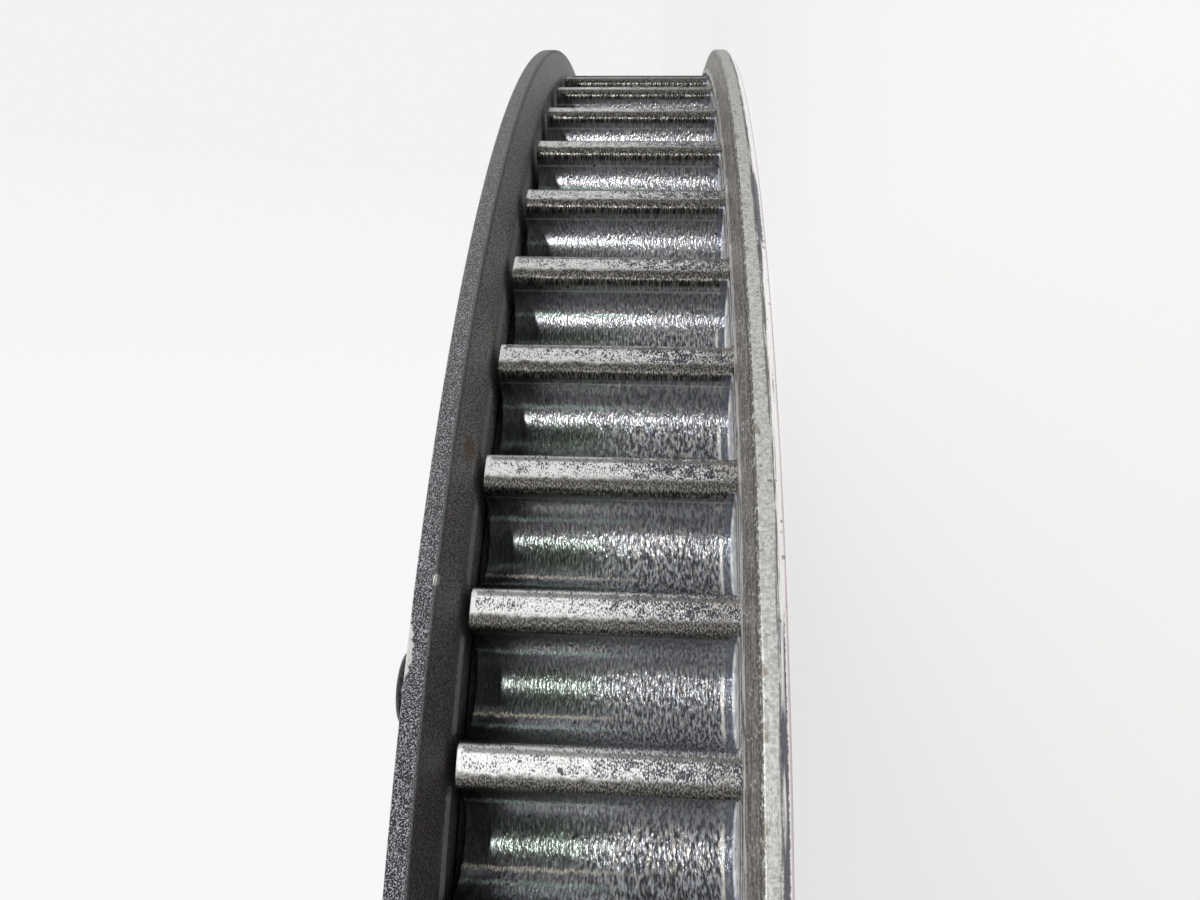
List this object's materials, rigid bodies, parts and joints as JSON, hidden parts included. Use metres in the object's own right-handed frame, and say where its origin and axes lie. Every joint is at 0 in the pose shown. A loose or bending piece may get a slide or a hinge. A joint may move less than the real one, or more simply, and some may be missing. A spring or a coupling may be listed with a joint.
{
  "type": "toothed belt pulley",
  "caption": "Wide rear drive pulley for a toothed belt: a spoked casting with round-bottomed grooves, one cast flange and one screwed-on steel flange ring.",
  "frame": {"origin": "on the axle's centre line, at the outer face of the cast flange, on which the pulley lies", "axes": "+Z along the axle, from the cast flange to the flange ring; one screw, one groove and one window are centred on -Y"},
  "size_m": [0.3178, 0.3178, 0.0368],
  "materials": {
    "worn_casting": "worn grey metal, polished bright by the belt on the teeth and in the grooves",
    "black_powder_coat": "coarse black powder coat, rubbed and chipped at its edges",
    "black_screw": "blackened steel"
  },
  "bodies": {
    "root": {"pulley_body": "worn_casting", "flange_ring": "black_powder_coat", "flange_screws": "black_screw"}
  },
  "joints": []
}
